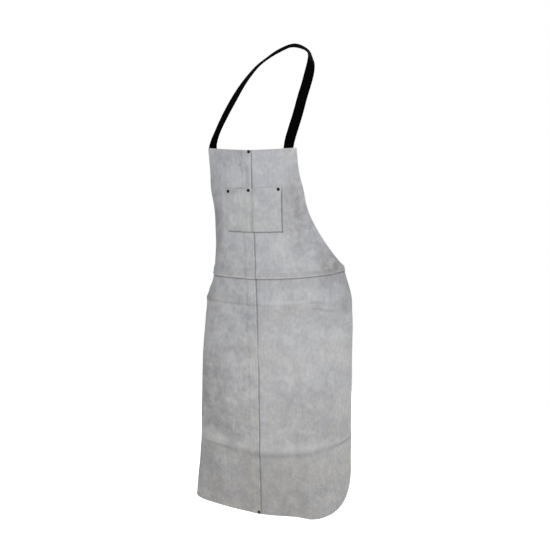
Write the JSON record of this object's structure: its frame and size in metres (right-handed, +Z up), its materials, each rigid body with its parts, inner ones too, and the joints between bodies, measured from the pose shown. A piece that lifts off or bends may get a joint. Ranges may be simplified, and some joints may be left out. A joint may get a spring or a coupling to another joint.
{
  "type": "leather bib apron",
  "caption": "Long split-leather bib apron with a lapped centre seam, a chest patch pocket, riveted stress points and a webbing neck loop, in its worn form.",
  "frame": {"origin": "underside of the neck strap at its highest point, where it rests on the wearer's nape", "axes": "+Z up, -Y the way the wearer faces, +X to the right as seen from the front"},
  "size_m": [0.4722, 0.284, 1.3991],
  "materials": {
    "leather": "matte split suede",
    "webbing": "matte woven",
    "rivet": "black satin"
  },
  "bodies": {
    "root": {"bib_panel_left": "leather", "bib_panel_right": "leather", "skirt_panel_left": "leather", "skirt_panel_right": "leather", "chest_pocket": "leather", "neck_strap": "webbing", "rivet_bib_top": "rivet", "rivet_pocket_left": "rivet", "rivet_pocket_middle": "rivet", "rivet_pocket_right": "rivet", "rivet_hem": "rivet"}
  },
  "joints": []
}
